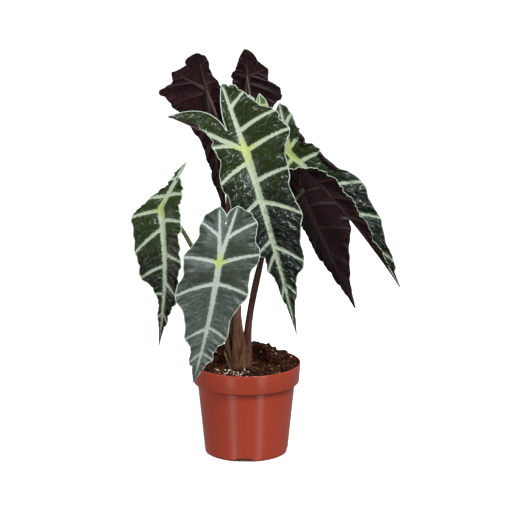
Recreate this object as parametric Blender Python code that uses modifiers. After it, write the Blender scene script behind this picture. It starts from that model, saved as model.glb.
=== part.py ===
"""A potted alocasia: a plastic nursery pot, its soil, and eight arrow-shaped leaves on stalks from one corm.

Metres, Z up. The pot's axis is the Z axis and its underside is at z = 0.
"""

import bmesh
import bpy
import numpy as np
from math import cos, pi, radians, sin
from mathutils import Matrix, Vector

# Pot
POT_HEIGHT = 0.101
POT_WALL = 0.0015
RIM_RADIUS = 0.060
BAND_FOOT_RADIUS = 0.0582
BAND_HEIGHT = 0.0215
BODY_TOP_RADIUS = 0.0538
BASE_RADIUS = 0.0460
FOOT_HEIGHT = 0.003
FOOT_WIDTH = 0.003
DISC_RADIUS = 0.022
NOTCH_WIDTH = 0.018
NOTCH_HEIGHT = 0.0039
NOTCH_COUNT = 4
POT_STEPS = 64

# Soil
GAP = 0.0003
SOIL_EDGE_HEIGHT = 0.0985
MOUND_HEIGHT = 0.0135
POCKET_GAP = 0.0003

# Corm and stalks
CORM_CENTRE = (-0.007, -0.012, 0.072)
CORM_RADIUS = 0.0155
CORM_HALF_HEIGHT = 0.018
STALK_FOOT = 0.0885
STALK_STRAIGHT_TO = 0.106
STALK_FOOT_RADIUS = 0.0032
STALK_TOP_RADIUS = 0.0019

# Blades
BLADE_THICKNESS = 0.0008
ROW_STEP = 13
ACROSS = (0.0, 0.36, 0.7, 1.0)
ACROSS_SINUS = (0.0, 0.5, 1.0)

mm = 0.001

# Each leaf is drawn flat first, in millimetres, with its stalk's joint at (0, 0) and its point at
# (0, length). "ribs" lists, from the tip of the back lobe to the point, where each side rib leaves
# the main rib and where it meets the margin, for the left-hand half and then the right-hand half.
# The flat leaf is then folded along its main rib, bent down over its length, and set in place at
# "at" with its point towards "tip" and its upper face towards "face".
leaves = {
    "centre": {
        "at": (0, -14, 339), "tip": (0.26, -0.45, -0.86), "face": (-0.07, -0.89, 0.45),
        "length": 206, "bow": 2, "lobes": (92, 85), "splay": (51, -4), "sinus": 0.36, "sinusBulge": (0.4, 0.16),
        "fold": (8, 8), "lobeFold": (8, 8), "bend": 30, "lobeBend": 15, "scallop": 5,
        "ribs": (
            [(-92, 72, -59), (-50, 40, -33), (-12, 34, -11), (13, 36, 30), (55, 33, 78), (100, 17, 112),
             (114, 12, 133), (150, 5, 165), (206, 0, 206)],
            [(-85, -6, -84), (-52, 15, -66), (-23, 43, -34), (1, 52, -9), (36, 40, 31), (58, 40, 82),
             (108, 29, 132), (148, 12, 164), (206, 0, 206)],
        ),
        "foot": (-3, -19.5), "stalk": [(-10, -17, 175), (-19, -3, 285)],
    },
    "front": {
        "at": (-27, -88, 235), "tip": (-0.21, -0.39, -0.90), "face": (0.04, -0.92, 0.39),
        "length": 132, "bow": 2.5, "lobes": (60, 64), "splay": (12, 6), "sinus": 0.68, "sinusBulge": (0.2, 0.2),
        "fold": (6, 6), "lobeFold": (6, 6), "bend": 26, "lobeBend": 12, "scallop": 6, "lobeDip": -1.2,
        "ribs": (
            [(-60, 12, -58), (-26, 28, -36), (2, 38, 5), (24, 38, 46), (72, 18, 88), (98, 9, 112), (132, 0, 132)],
            [(-64, 7, -64), (-26, 30, -49), (3, 41, -15), (24, 37, 29), (70, 25, 79), (98, 15, 103), (132, 0, 132)],
        ),
        "foot": (-10, -20), "stalk": [(-11, -32, 160), (-17, -58, 218)],
    },
    "left": {
        "at": (-90, -35, 281), "tip": (-0.09, -0.45, -0.89), "face": (-0.32, -0.83, 0.46),
        "length": 148, "bow": 9, "lobes": (57, 39), "splay": (-24, 27), "sinus": 0.8, "sinusBulge": (0.06, 0.15),
        "fold": (8, 8), "lobeFold": (8, 8), "bend": 26, "lobeBend": 10, "scallop": 3,
        "ribs": (
            [(-57, -23, -52), (-35, -7, -32), (-14, 15, -10), (3, 32, 12), (22, 25, 50), (62, 18, 76),
             (92, 2, 93), (112, 0, 118), (148, 0, 148)],
            [(-39, 18, -35), (-16, 24, -14), (14, 26, 16), (51, 28, 59), (80, 24, 98), (112, 11, 124), (148, 0, 148)],
        ),
        "foot": (-15.5, -14), "stalk": [(-26, -18, 155), (-54, -22, 227), (-75, -21, 264)],
    },
    "back_left": {
        "at": (-42, 46, 395), "tip": (0.12, 0.12, -0.98), "face": (-0.04, 0.99, 0.12),
        "length": 130, "bow": 0, "lobes": (45, 44), "splay": (-8, 55), "sinus": 0.84, "sinusBulge": (0.42, 0.05),
        "fold": (6, 6), "lobeFold": (6, 6), "bend": 30, "lobeBend": 8, "scallop": 3,
        "ribs": (
            [(-45, -6, -45), (-30, 5, -34), (-8, 13, -8), (14, 32, 16), (44, 30, 50), (80, 16, 86), (130, 0, 130)],
            [(-44, 36, -26), (-31, 37, -14), (-19, 54, -4), (2, 41, 14), (24, 24, 39), (56, 11, 76), (90, 8, 100), (130, 0, 130)],
        ),
        "foot": (-14, -6.5), "stalk": [(-17, 4, 170), (-25, 10, 280), (-27, 17, 352)],
    },
    "back_centre": {
        "at": (2, 80, 406), "tip": (-0.16, 0.12, -0.98), "face": (0.06, 0.99, 0.12),
        "length": 110, "bow": 0, "lobes": (24, 32), "splay": (60, 16), "sinus": 0.87, "sinusBulge": (0.12, 0.3),
        "fold": (6, 6), "lobeFold": (6, 6), "bend": 30, "lobeBend": 8, "scallop": 2,
        "ribs": (
            [(-24, 21, -12), (-11, 23, 1), (-2, 38, 8), (8, 41, 19), (22, 32, 32), (44, 20, 62), (110, 0, 110)],
            [(-32, 9, -31), (-12, 14, -13), (2, 19, 1), (18, 17, 16), (50, 16, 60), (110, 0, 110)],
        ),
        "foot": (-7.5, -3.5), "stalk": [(-9, 6.5, 162), (-4.5, 18, 220), (3, 34, 285), (6, 52, 362)],
    },
    "young": {
        "at": (14.5, 22, 370), "tip": (0.13, -0.29, -0.95), "face": (-0.01, -0.96, 0.29),
        "length": 66, "bow": 0, "lobes": (27, 26), "splay": (18, 8), "sinus": 0.5, "sinusBulge": (0.2, 0.2),
        "fold": (10, 10), "lobeFold": (10, 10), "bend": 26, "lobeBend": 8, "scallop": 1.5,
        "ribs": (
            [(-27, 9, -26), (-12, 13, -10), (2, 14, 4), (20, 11, 26), (40, 6, 46), (66, 0, 66)],
            [(-26, 4, -26), (-12, 11, -12), (2, 13, 2), (20, 11, 24), (40, 6, 46), (66, 0, 66)],
        ),
        "foot": (-7, -12), "stalk": [(-9.5, -7, 160), (-4, 2, 196), (10, 18, 275), (16, 33, 335)],
    },
    "right": {
        "at": (47, 5, 332), "tip": (0.71, -0.35, -0.61), "face": (0.27, -0.66, 0.70),
        "length": 188, "bow": 0, "lobes": (44, 58), "splay": (25, 38), "sinus": 0.4, "sinusBulge": (0.3, 0.3),
        "fold": (100, 35), "lobeFold": (14, 35), "foldFrom": 8, "foldTo": 44, "bend": 24, "lobeBend": 12, "scallop": 4,
        "ribs": (
            [(-44, 19, -40), (-16, 22, -14), (6, 24, 13), (22, 19, 33), (44, 23, 58), (66, 21, 86),
             (94, 15, 114), (132, 6, 152), (188, 0, 188)],
            [(-58, 36, -46), (-30, 35, -28), (-6, 30, -4), (14, 29, 25), (52, 36, 75), (88, 26, 116),
             (130, 10, 162), (188, 0, 188)],
        ),
        "foot": (2, -13), "stalk": [(3.5, -11, 150), (15, -6, 208), (31, 1, 285)],
    },
    "right_back": {
        "at": (59, 35, 287), "tip": (0.40, 0.14, -0.90), "face": (-0.15, 0.98, 0.09),
        "length": 147, "bow": 0, "lobes": (30, 30), "splay": (20, 20), "sinus": 0.92, "sinusBulge": (0.2, 0.2),
        "fold": (6, 58), "lobeFold": (6, 20), "bend": 26, "lobeBend": 8, "scallop": 2,
        "ribs": (
            [(-30, 12, -28), (-12, 24, -12), (4, 31, 14), (20, 40, 40), (48, 33, 67), (80, 14, 104), (147, 0, 147)],
            [(-30, 13, -30), (-12, 27, -12), (4, 26, 12), (24, 26, 42), (54, 24, 76), (88, 12, 110), (147, 0, 147)],
        ),
        "foot": (-0.5, -6), "stalk": [(3, -2.5, 150), (14.5, 3, 208), (36, 19, 258)],
    },
}


def makeMaterial(name, colour, roughness):
    material = bpy.data.materials.new(name)
    material.use_nodes = True
    shader = material.node_tree.nodes["Principled BSDF"]
    shader.inputs["Base Color"].default_value = (*colour, 1)
    shader.inputs["Roughness"].default_value = roughness
    shader.inputs["Metallic"].default_value = 0
    material.diffuse_color = (*colour, 1)
    return material


def addMesh(name, bm, material, collection):
    mesh = bpy.data.meshes.new(name)
    bm.to_mesh(mesh)
    bm.free()
    mesh.materials.append(material)
    mesh.shade_smooth()
    obj = bpy.data.objects.new(name, mesh)
    collection.objects.link(obj)
    return obj


def addCutter(name, bm):
    cutter = addMesh(name, bm, soilMaterial, cutters)
    cutter.hide_render = True
    cutter.display_type = "WIRE"
    return cutter


def cut(obj, cutter):
    boolean = obj.modifiers.new(cutter.name, "BOOLEAN")
    boolean.operation = "DIFFERENCE"
    boolean.solver = "EXACT"
    boolean.object = cutter


def turned(name, profile, material, collection):
    """A solid turned about Z from a profile of (radius, height), listed top to bottom on the outside."""
    bm = bmesh.new()
    verts = [bm.verts.new((r, 0, z)) for r, z in profile]
    for a, b in zip(verts, verts[1:]):
        bm.edges.new((a, b))
    obj = addMesh(name, bm, material, collection)
    screw = obj.modifiers.new("Turn", "SCREW")
    screw.steps = POT_STEPS
    screw.render_steps = POT_STEPS
    screw.use_merge_vertices = True
    screw.merge_threshold = 0.00005
    screw.use_smooth_shade = True
    return obj


def potProfile():
    band = POT_HEIGHT - BAND_HEIGHT
    outer = [
        (0.0, FOOT_HEIGHT - 0.0012),
        (DISC_RADIUS - 0.0016, FOOT_HEIGHT - 0.0012),
        (DISC_RADIUS + 0.0036, FOOT_HEIGHT + 0.0018),
        (BASE_RADIUS - 0.0030, FOOT_HEIGHT + 0.0018),
        (BODY_TOP_RADIUS - POT_WALL, band + POT_WALL),
        (BAND_FOOT_RADIUS - POT_WALL, band + POT_WALL),
        (RIM_RADIUS - POT_WALL, POT_HEIGHT - 0.0005),
        (RIM_RADIUS - POT_WALL + 0.0004, POT_HEIGHT),
        (RIM_RADIUS - 0.0004, POT_HEIGHT),
        (RIM_RADIUS, POT_HEIGHT - 0.0005),
        (BAND_FOOT_RADIUS, band + 0.0004),
        (BAND_FOOT_RADIUS - 0.0005, band),
        (BODY_TOP_RADIUS, band),
        (BASE_RADIUS, 0.002),
        (BASE_RADIUS - 0.0012, 0.0),
        (BASE_RADIUS - FOOT_WIDTH - 0.0012, 0.0),
        (BASE_RADIUS - FOOT_WIDTH - 0.0012, FOOT_HEIGHT),
        (DISC_RADIUS + 0.002, FOOT_HEIGHT),
        (DISC_RADIUS, 0.0),
        (0.0, 0.0),
    ]
    return outer


def soilHeight(x, y):
    """The lumpy top of the soil: level with the rim in front, heaped up behind the stalks."""
    r = np.hypot(x, y) / (RIM_RADIUS - POT_WALL)
    inside = np.clip(1 - r**8, 0, 1)
    share = np.clip((y / mm - 2) / 20 + 0.003 * x / mm, 0, 1)
    fall = np.clip((x / mm - 16) / 20, 0, 1)
    heap = MOUND_HEIGHT * inside * share * share * (3 - 2 * share) * (1 - 0.5 * fall * fall * (3 - 2 * fall))
    heap = heap + 0.0015 * inside * np.clip(0.5 + 0.02 * x / mm, 0, 1)
    hollow = 0.0035 * np.exp(-((x - 0.017) ** 2 + (y - 0.001) ** 2) / 0.009**2)
    heap = heap - hollow
    lumps = 0.0011 * np.sin(x * 260 + 1.3) * np.sin(y * 240 - 0.4) + 0.0007 * np.sin(x * 430) * np.sin(y * 390 + 2)
    nearStalks = np.exp(-((x - CORM_CENTRE[0]) ** 2 + (y - CORM_CENTRE[1]) ** 2) / 0.020**2)
    height = SOIL_EDGE_HEIGHT + heap + lumps * np.clip(1.15 - r, 0, 1) * 2
    return height * (1 - nearStalks) + (SOIL_EDGE_HEIGHT + 0.002) * nearStalks


def addSoil(collection):
    """Soil filling the pot, as stacked rings from the middle of the floor, up the wall and in to the middle of the top."""
    band = POT_HEIGHT - BAND_HEIGHT
    floor = FOOT_HEIGHT + 0.0018 + GAP
    side = [
        (DISC_RADIUS - 0.0018, FOOT_HEIGHT - 0.0012 + GAP),
        (DISC_RADIUS + 0.0034, floor),
        (BASE_RADIUS - 0.0034, floor),
        (BODY_TOP_RADIUS - POT_WALL - GAP, band + POT_WALL + GAP),
        (BAND_FOOT_RADIUS - POT_WALL - GAP, band + POT_WALL + GAP),
        (RIM_RADIUS - POT_WALL - 0.0005, SOIL_EDGE_HEIGHT - 0.002),
    ]
    segments = 40
    bm = bmesh.new()
    rings = []
    for radius, height in side:
        rings.append([(radius * cos(a), radius * sin(a), height) for a in np.linspace(0, 2 * pi, segments + 1)[:-1]])
    for share in (0.96, 0.86, 0.74, 0.6, 0.46, 0.32, 0.17):
        radius = share * (RIM_RADIUS - POT_WALL)
        ring = []
        for a in np.linspace(0, 2 * pi, segments + 1)[:-1]:
            x, y = radius * cos(a), radius * sin(a)
            ring.append((x, y, float(soilHeight(x, y))))
        rings.append(ring)
    rings = [[bm.verts.new(p) for p in ring] for ring in rings]
    bottom = bm.verts.new((0, 0, FOOT_HEIGHT - 0.0012 + GAP))
    top = bm.verts.new((0, 0, float(soilHeight(0.0, 0.0))))
    for i in range(segments):
        j = (i + 1) % segments
        bm.faces.new((bottom, rings[0][j], rings[0][i]))
        bm.faces.new((top, rings[-1][i], rings[-1][j]))
        for low, high in zip(rings, rings[1:]):
            bm.faces.new((low[i], low[j], high[j], high[i]))
    return addMesh("soil", bm, soilMaterial, collection)


def ribPoint(leaf, side, t):
    """The main rib of one half in the flat leaf: along the midrib for t > 0, and back into the lobe for t < 0."""
    angle = radians(leaf["splay"][side])
    back = np.minimum(t, 0)
    ahead = np.maximum(t, 0)
    bow = leaf["bow"] * np.sin(pi * ahead / leaf["length"])
    return np.stack([-back * sin(angle) + (bow if side else -bow), back * cos(angle) + ahead], -1)


def marginPoint(leaf, side, w):
    """The margin at rib number w, smooth through the ribs' ends."""
    ends = np.array([rib[1:] for rib in leaf["ribs"][side]], float)
    ends[0] = ribPoint(leaf, side, -float(leaf["lobes"][side]))
    last = len(ends) - 1
    i = np.minimum(w.astype(int), last - 1)
    u = (w - i)[:, None]
    b, c = ends[i], ends[i + 1]
    a = np.where((i > 0)[:, None], ends[np.maximum(i - 1, 0)], 2 * b - c)
    d = np.where((i < last - 1)[:, None], ends[np.minimum(i + 2, last)], 2 * c - b)
    return 0.5 * (2 * b + (c - a) * u + (2 * a - 5 * b + 4 * c - d) * u**2 + (3 * b - a - 3 * c + d) * u**3)


def rowNumber(leaf, side, t):
    starts = [rib[0] for rib in leaf["ribs"][side]]
    starts[0] = -leaf["lobes"][side]
    return np.interp(t, starts, np.arange(len(starts)))


def outerStrip(leaf, side, t, v):
    """Flat points of one half from its main rib (v = 0) to its margin (v = 1), and how far they swell."""
    w = rowNumber(leaf, side, t)
    rib, margin = ribPoint(leaf, side, t), marginPoint(leaf, side, w)
    width = np.maximum(np.linalg.norm(margin - rib, axis=-1), 1e-6)
    between = np.sin(pi * w) ** 2
    dip = np.minimum(leaf["scallop"] * between, 0.2 * width)
    dip = np.where(w < 1, leaf.get("lobeDip", -0.035 * leaf["lobes"][side]) * np.sin(pi * w), dip)
    margin = margin - (margin - rib) / width[:, None] * dip[:, None]
    middle = (rib + margin) / 2
    middle[:, 1] -= 0.08 * width
    v = v[:, None]
    flat = (1 - v) ** 2 * rib + 2 * v * (1 - v) * middle + v**2 * margin
    swell = 0.05 * np.minimum(width, 40) * between * 4 * v[:, 0] * (1 - v[:, 0])
    return flat, swell


def sinusStrip(leaf, side, t, v):
    """Flat points between the lobe's rib (v = 0) and the notch between the lobes (v = 1)."""
    lobe, angle, other = leaf["lobes"][side], radians(leaf["splay"][side]), radians(leaf["splay"][1 - side])
    middle = (angle - other) / 2
    deep = leaf["sinus"] * min(leaf["lobes"])
    notch = deep * np.array([sin(middle), -cos(middle)])
    reach = leaf["sinus"] * lobe
    rib = ribPoint(leaf, side, t)
    closed = np.clip(-t / reach, 0, 1)[:, None] * notch
    f = np.clip((-t - reach) / (lobe - reach), 0, 1)[:, None]
    inwards = np.array([-cos(angle), -sin(angle)])
    bulge = ribPoint(leaf, side, -(reach + 0.45 * (lobe - reach))) + inwards * leaf["sinusBulge"][side] * lobe
    tip = ribPoint(leaf, side, -float(lobe))
    margin = (1 - f) ** 2 * notch + 2 * f * (1 - f) * bulge + f**2 * tip
    edge = np.where((-t <= reach)[:, None], closed, margin)
    v = v[:, None]
    return rib * (1 - v) + edge * v


def shapeLeaf(leaf, side, flat, lift):
    """Folds, bends and places flat points of one half, in millimetres. Lift is along the leaf's upper side."""
    length = leaf["length"]
    y = flat[:, 1]
    middle = -leaf["bow"] * np.sin(pi * np.clip(y, 0, length) / length)
    x = (flat[:, 0] if side == 0 else -flat[:, 0]) - middle
    foldFrom, foldTo = leaf.get("foldFrom", -0.075 * length), leaf.get("foldTo", 0.175 * length)
    ease = np.clip((y - foldFrom) / (foldTo - foldFrom), 0, 1)
    ease = ease * ease * (3 - 2 * ease)
    lobeFold = np.where(x > 0, *leaf["lobeFold"])
    fold = np.radians(lobeFold + (np.where(x > 0, *leaf["fold"]) - lobeFold) * ease)
    across = middle + x * np.cos(fold) - lift * np.sin(fold) * np.sign(x)
    up = np.abs(x) * np.sin(fold) + lift * np.cos(fold)
    share = np.linspace(0, 1, 100)
    droop = np.radians(leaf["bend"]) * share
    step = length / 99
    alongs = np.concatenate([[0], np.cumsum(np.cos(droop[1:] - droop[1] / 2))]) * step
    drops = np.concatenate([[0], np.cumsum(np.sin(droop[1:] - droop[1] / 2))]) * step
    ahead = np.clip(y / length, 0, 1)
    back = np.clip(-y, 0, None)
    rate = np.radians(leaf["lobeBend"]) / max(leaf["lobes"])
    along = np.interp(ahead, share, alongs) - np.sin(rate * back) / rate
    drop = np.interp(ahead, share, drops) + (1 - np.cos(rate * back)) / rate
    lean = np.interp(ahead, share, droop) - rate * back
    along = along + up * np.sin(lean)
    rise = up * np.cos(lean) - drop
    tip = Vector(leaf["tip"]).normalized()
    face = Vector(leaf["face"])
    face = (face - tip * face.dot(tip)).normalized()
    left = tip.cross(face)
    at = np.array(leaf["at"], float)
    return at + across[:, None] * np.array(left) + along[:, None] * np.array(tip) + rise[:, None] * np.array(face)


def filled(values, step):
    """The sorted values, with more between any two that are further apart than step."""
    values = sorted(set(values))
    out = [values[0]]
    for a, b in zip(values, values[1:]):
        if b - a < 0.35 * step and b != values[-1]:
            continue
        a = out[-1]
        n = int(np.ceil((b - a) / step))
        out += [a + (b - a) * (k + 1) / n for k in range(n)]
    return out


def addBlade(name, leaf, material, collection):
    bm = bmesh.new()
    starts = [[rib[0] for rib in half] for half in leaf["ribs"]]
    ahead = filled([0.0] + [float(s) for half in starts for s in half if s > 0], ROW_STEP)
    reach = [leaf["sinus"] * lobe for lobe in leaf["lobes"]]
    shares = filled([0.0, 1.0], ROW_STEP / max(reach))
    for side in (0, 1):
        lobe = leaf["lobes"][side]
        seam = [-share * reach[side] for share in shares]
        behind = filled([-float(s) for s in starts[side] if -lobe < s < -reach[side] - 3] + [reach[side], lobe], ROW_STEP)
        behind = [-b for b in behind[1:]]
        rows = sorted(behind + seam + ahead[1:])
        grids = []
        for strip, columns, samples in (
            (outerStrip, ACROSS, rows),
            (sinusStrip, ACROSS_SINUS, [t for t in rows if t <= 0]),
        ):
            t, v = (a.ravel() for a in np.meshgrid(samples, columns, indexing="ij"))
            if strip is outerStrip:
                flat, lift = strip(leaf, side, t, v)
            else:
                flat, lift = strip(leaf, side, t, v), np.zeros(len(t))
            points = shapeLeaf(leaf, side, flat, lift) * mm
            grids.append((points.reshape(len(samples), len(columns), 3), strip is outerStrip))
        for grid, outwards in grids:
            verts = [[bm.verts.new(p) for p in row] for row in grid]
            for low, high in zip(verts, verts[1:]):
                for k in range(len(low) - 1):
                    corners = (low[k], low[k + 1], high[k + 1], high[k])
                    if outwards == (side == 0):
                        corners = corners[::-1]
                    bm.faces.new(corners)
    bmesh.ops.remove_doubles(bm, verts=bm.verts, dist=0.00005)
    bmesh.ops.recalc_face_normals(bm, faces=bm.faces)
    middle = min(bm.faces, key=lambda f: (f.calc_center_median() - Vector(leaf["at"]) * mm).length)
    if middle.normal.dot(Vector(leaf["face"])) < 0:
        bmesh.ops.reverse_faces(bm, faces=bm.faces)
    obj = addMesh("leaf_" + name, bm, material, collection)
    solidify = obj.modifiers.new("Thickness", "SOLIDIFY")
    solidify.thickness = BLADE_THICKNESS
    solidify.offset = 0
    return obj


def smoothPath(points, steps):
    """Points along a smooth curve through the given points."""
    points = [Vector(p) for p in points]
    ends = [2 * points[0] - points[1]] + points + [2 * points[-1] - points[-2]]
    path = []
    for a, b, c, d in zip(ends, ends[1:], ends[2:], ends[3:]):
        for k in range(steps):
            u = k / steps
            p = 2 * b + (c - a) * u + (2 * a - 5 * b + 4 * c - d) * u**2 + (3 * b - a - 3 * c + d) * u**3
            path.append(p / 2)
    return path + [points[-1]]


def addStalk(name, leaf, collection):
    """A stalk from the corm up to the underside of its blade."""
    x, y = (c * mm for c in leaf["foot"])
    face = Vector(leaf["face"]).normalized()
    joint = Vector(leaf["at"]) * mm - face * (BLADE_THICKNESS / 2 + 0.0006)
    above = [Vector(p) * mm for p in leaf["stalk"]] + [joint - face * 0.010, joint]
    path = [Vector((x, y, STALK_FOOT)), Vector((x, y, STALK_STRAIGHT_TO - 0.001))]
    path += smoothPath([(x, y, STALK_STRAIGHT_TO), *above], 5)
    curve = bpy.data.curves.new("stalk_" + name, "CURVE")
    curve.dimensions = "3D"
    curve.bevel_depth = 1.0
    curve.bevel_resolution = 2
    curve.use_fill_caps = True
    spline = curve.splines.new("POLY")
    spline.points.add(len(path) - 1)
    for k, (point, place) in enumerate(zip(spline.points, path)):
        share = k / (len(path) - 1)
        point.co = (*place, 1)
        point.radius = STALK_FOOT_RADIUS + (STALK_TOP_RADIUS - STALK_FOOT_RADIUS) * share
    curve.materials.append(stalkMaterial)
    obj = bpy.data.objects.new("stalk_" + name, curve)
    collection.objects.link(obj)
    return obj


def addSheath(name, turn, spread, foot, height, lean, material, collection):
    """A dry papery sheath: a curved strip round the foot of the stalks that narrows to a torn point."""
    bm = bmesh.new()
    rows = []
    for k in range(7):
        share = k / 6
        radius = 0.0135 + lean * share**1.5
        half = spread * (1 - 0.75 * share**1.4)
        row = []
        for a in np.linspace(-half, half, 7):
            angle = radians(turn + a)
            x = CORM_CENTRE[0] + radius * cos(angle)
            y = CORM_CENTRE[1] + radius * sin(angle)
            z = foot + height * share * (1 - 0.1 * abs(a) / spread)
            row.append(bm.verts.new((x, y, z)))
        rows.append(row)
    for low, high in zip(rows, rows[1:]):
        for k in range(6):
            bm.faces.new((low[k], low[k + 1], high[k + 1], high[k]))
    obj = addMesh(name, bm, material, collection)
    solidify = obj.modifiers.new("Thickness", "SOLIDIFY")
    solidify.thickness = 0.0008
    solidify.offset = 0
    return obj


for obj in list(bpy.data.objects):
    bpy.data.objects.remove(obj)

plant = bpy.data.collections.new("potted_alocasia")
cutters = bpy.data.collections.new("cutters")
bpy.context.scene.collection.children.link(plant)
bpy.context.scene.collection.children.link(cutters)

potMaterial = makeMaterial("terracotta_plastic", (0.38, 0.060, 0.028), 0.38)
soilMaterial = makeMaterial("peat_soil", (0.022, 0.011, 0.007), 0.95)
cormMaterial = makeMaterial("corm_skin", (0.10, 0.055, 0.030), 0.85)
stalkMaterial = makeMaterial("stalk_skin", (0.19, 0.075, 0.040), 0.55)
sheathMaterial = makeMaterial("dry_sheath", (0.26, 0.17, 0.09), 0.80)
leafMaterial = makeMaterial("green_leaf", (0.025, 0.045, 0.018), 0.30)
maroonMaterial = makeMaterial("maroon_leaf", (0.024, 0.010, 0.010), 0.45)

pot = turned("pot", potProfile(), potMaterial, plant)
for k in range(NOTCH_COUNT):
    bm = bmesh.new()
    bmesh.ops.create_cube(bm, size=1)
    for vert in bm.verts:
        vert.co.x = vert.co.x * 0.012 + BASE_RADIUS - 0.001
        vert.co.y *= NOTCH_WIDTH
        vert.co.z = vert.co.z * 0.010 - 0.005 + NOTCH_HEIGHT
    turn = radians(-93 + 360 / NOTCH_COUNT * k)
    bmesh.ops.rotate(bm, verts=bm.verts, matrix=Matrix.Rotation(turn, 3, "Z"))
    cut(pot, addCutter(f"notch_cutter_{k + 1}", bm))

soil = addSoil(plant)
bm = bmesh.new()
bmesh.ops.create_uvsphere(bm, u_segments=20, v_segments=12, radius=1)
for vert in bm.verts:
    vert.co.x = CORM_CENTRE[0] + vert.co.x * (CORM_RADIUS + POCKET_GAP)
    vert.co.y = CORM_CENTRE[1] + vert.co.y * (CORM_RADIUS + POCKET_GAP)
    vert.co.z = CORM_CENTRE[2] + vert.co.z * (CORM_HALF_HEIGHT + POCKET_GAP)
cut(soil, addCutter("corm_pocket", bm))
bm = bmesh.new()
bmesh.ops.create_cone(bm, cap_ends=True, segments=28, radius1=0.0146, radius2=0.0150, depth=0.045)
bmesh.ops.translate(bm, verts=bm.verts, vec=(CORM_CENTRE[0], CORM_CENTRE[1], STALK_FOOT - 0.004 + 0.0225))
cut(soil, addCutter("stalk_pocket", bm))

# The corm is a squat bulb whose flat top carries the stalks.
bm = bmesh.new()
bmesh.ops.create_uvsphere(bm, u_segments=20, v_segments=12, radius=1)
for vert in bm.verts:
    vert.co.x = CORM_CENTRE[0] + vert.co.x * CORM_RADIUS
    vert.co.y = CORM_CENTRE[1] + vert.co.y * CORM_RADIUS
    vert.co.z = CORM_CENTRE[2] + vert.co.z * CORM_HALF_HEIGHT
    vert.co.z = min(vert.co.z, STALK_FOOT - GAP)
addMesh("corm", bm, cormMaterial, plant)

undersides = ("back_left", "back_centre", "right_back")
for name, leaf in leaves.items():
    addStalk(name, leaf, plant)
    addBlade(name, leaf, maroonMaterial if name in undersides else leafMaterial, plant)

addSheath("sheath_left", 196, 34, 0.0965, 0.022, 0.004, sheathMaterial, plant)
addSheath("sheath_front", 292, 30, 0.0960, 0.034, 0.003, sheathMaterial, plant)
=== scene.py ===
import bmesh
import bpy
import numpy as np
from math import cos, pi, radians, sin
from mathutils import Matrix, Vector, noise


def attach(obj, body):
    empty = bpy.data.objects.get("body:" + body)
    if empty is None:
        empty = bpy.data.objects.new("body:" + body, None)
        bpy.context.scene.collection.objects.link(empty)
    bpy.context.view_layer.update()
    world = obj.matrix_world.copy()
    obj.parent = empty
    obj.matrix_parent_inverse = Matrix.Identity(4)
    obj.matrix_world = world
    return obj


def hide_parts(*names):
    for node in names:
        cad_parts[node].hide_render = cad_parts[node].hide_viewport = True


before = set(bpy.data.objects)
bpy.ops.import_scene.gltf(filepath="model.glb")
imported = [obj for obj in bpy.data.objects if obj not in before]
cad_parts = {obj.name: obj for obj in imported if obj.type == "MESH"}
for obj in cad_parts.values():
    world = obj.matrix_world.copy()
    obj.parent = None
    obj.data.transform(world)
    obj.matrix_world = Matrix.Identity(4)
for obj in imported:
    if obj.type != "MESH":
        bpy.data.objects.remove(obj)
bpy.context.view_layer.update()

mm = 0.001
rng = np.random.default_rng(7)


# Materials: colours are sRGB hex, distances in a leaf's patterns are millimetres

def linear(hexColour):
    channels = [int(hexColour[i:i + 2], 16) / 255 for i in (1, 3, 5)]
    return (*[c / 12.92 if c <= 0.04045 else ((c + 0.055) / 1.055) ** 2.4 for c in channels], 1.0)


def addNode(material, kind, links=None, output=None, **settings):
    # Adds a node, sets and links its sockets, and gives back one output: the first in use unless it is named.
    node = material.node_tree.nodes.new("ShaderNode" + kind)
    for name, value in settings.items():
        setattr(node, name, value)
    for socket, source in (links or {}).items():
        if isinstance(source, bpy.types.NodeSocket):
            material.node_tree.links.new(source, node.inputs[socket])
        else:
            node.inputs[socket].default_value = linear(source) if isinstance(source, str) else source
    return node.outputs[output] if output else next(one for one in node.outputs if one.enabled)


def newMaterial(name, **sockets):
    material = bpy.data.materials.new(name)
    material.use_nodes = True
    shader = material.node_tree.nodes["Principled BSDF"]
    for socket, value in sockets.items():
        shader.inputs[socket.replace("_", " ")].default_value = value
    return material, shader


asColour = {"data_type": "RGBA"}                          # for a Mix node: it mixes colours
eased = {"interpolation_type": "SMOOTHSTEP"}              # for a Map Range node: it starts and ends softly


def feed(material, socket, source):
    material.node_tree.links.new(source, socket)


leafLook = {"web": "#687962", "ribCore": "#8A956B", "margin": "#A6AF9E"}


distances = ("ribDistance", "marginDistance", "jointDistance", "awayDistance")  # in mm, stored on each leaf


def fineMesh(material, rows):
    # Rows that wander along the ribs, and a mesh of about 5 by 9 mm between them.
    bent = addNode(material, "TexNoise", {"Vector": rows, "Scale": 75, "Detail": 3}, output="Color")
    wander = addNode(material, "VectorMath", {0: bent, 1: (0.008, 0.009, 0)}, operation="MULTIPLY")
    moved = addNode(material, "VectorMath", {0: rows, 1: wander}, operation="ADD")
    stretched = addNode(material, "Mapping", {"Vector": moved, "Scale": (110, 210, 1)})
    mesh = addNode(material, "TexVoronoi", {"Vector": stretched, "Scale": 1.0}, feature="DISTANCE_TO_EDGE")
    return moved, stretched, mesh


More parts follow.
